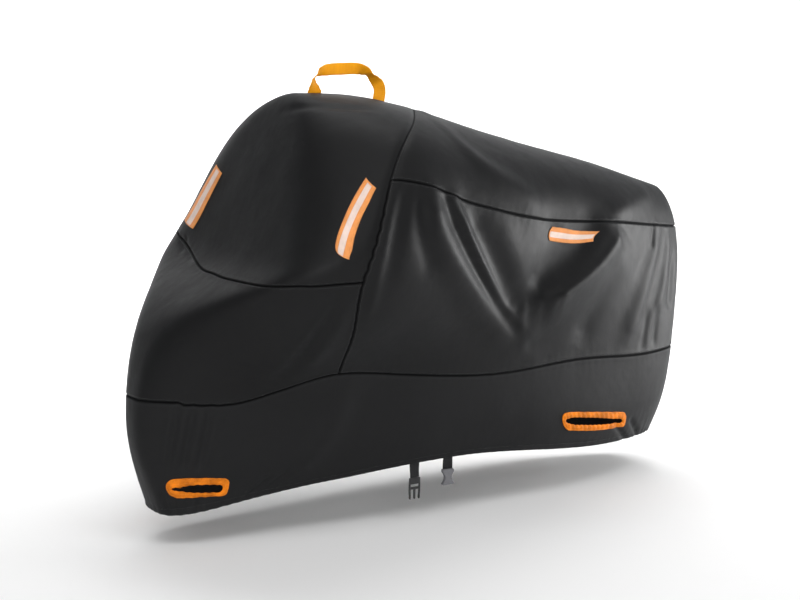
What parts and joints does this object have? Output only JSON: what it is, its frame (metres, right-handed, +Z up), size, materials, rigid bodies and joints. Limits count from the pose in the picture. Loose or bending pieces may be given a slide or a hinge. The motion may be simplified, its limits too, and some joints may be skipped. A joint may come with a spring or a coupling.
{
  "type": "motorcycle cover",
  "caption": "Fitted outdoor motorcycle cover as it hangs in use: high front, roof sloping to the tail, lower band with bound slots, top handle, reflective tapes and an open buckle strap.",
  "frame": {"origin": "on the middle line, just under the top cloth of the high front, where what is inside holds the cover up", "axes": "+X towards the tail of the cover, +Y towards its right side, +Z up; the left side, which the picture shows, faces -Y"},
  "size_m": [2.0703, 1.0222, 1.342],
  "materials": {
    "slot_webbing": "woven",
    "handle_webbing": "woven",
    "strap_webbing": "woven",
    "buckle_plastic": "moulded",
    "reflective_tape": "satin, with a pale stripe",
    "side_cloth": "coated weave",
    "hood_cloth": "coated weave",
    "roof_cloth": "coated weave",
    "front_cloth": "coated weave",
    "band_cloth": "coated weave"
  },
  "bodies": {
    "root": {"band_right": "band_cloth", "binding_front_left": "slot_webbing", "binding_front_right": "slot_webbing", "binding_rear_left": "slot_webbing", "binding_rear_right": "slot_webbing", "buckle_prongs": "buckle_plastic", "buckle_socket": "buckle_plastic", "front_panel": "front_cloth", "handle": "handle_webbing", "hood": "hood_cloth", "lower_band": "band_cloth", "roof": "roof_cloth", "side_left": "side_cloth", "side_right": "side_cloth", "strap_front": "strap_webbing", "strap_rear": "strap_webbing", "tape_front_left": "reflective_tape", "tape_front_right": "reflective_tape", "tape_rear_left": "reflective_tape", "tape_rear_right": "reflective_tape"}
  },
  "joints": []
}
